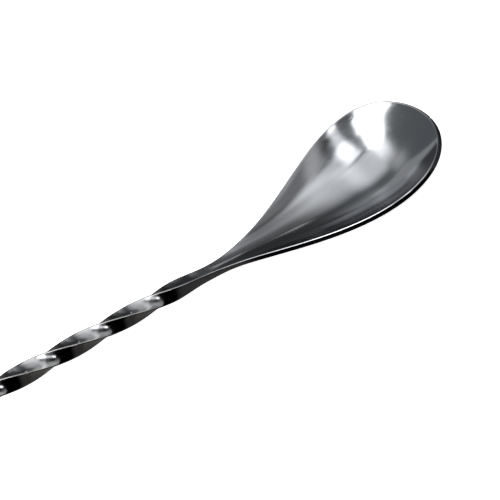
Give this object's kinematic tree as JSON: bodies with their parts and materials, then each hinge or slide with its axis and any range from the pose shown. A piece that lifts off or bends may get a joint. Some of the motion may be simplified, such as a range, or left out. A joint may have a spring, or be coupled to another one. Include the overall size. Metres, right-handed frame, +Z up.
{
  "type": "bar spoon",
  "caption": "Bar spoon with a teardrop bowl on a long right-hand twisted square bar and a flat muddler disc on the far end.",
  "frame": {"origin": "centre of the spoon's box on the surface it lies on, with the bowl's hollow facing up", "axes": "+X along the spoon towards the bowl's tip, +Y across it to the left when looking along +X, +Z up"},
  "size_m": [0.301, 0.0294, 0.02],
  "materials": {
    "bowl": "polished gunmetal",
    "shaft": "polished gunmetal",
    "ferrule": "polished gunmetal",
    "disc": "polished gunmetal"
  },
  "bodies": {
    "root": {"bowl": "bowl", "shaft": "shaft", "ferrule": "ferrule", "muddler_disc": "disc"}
  },
  "joints": []
}
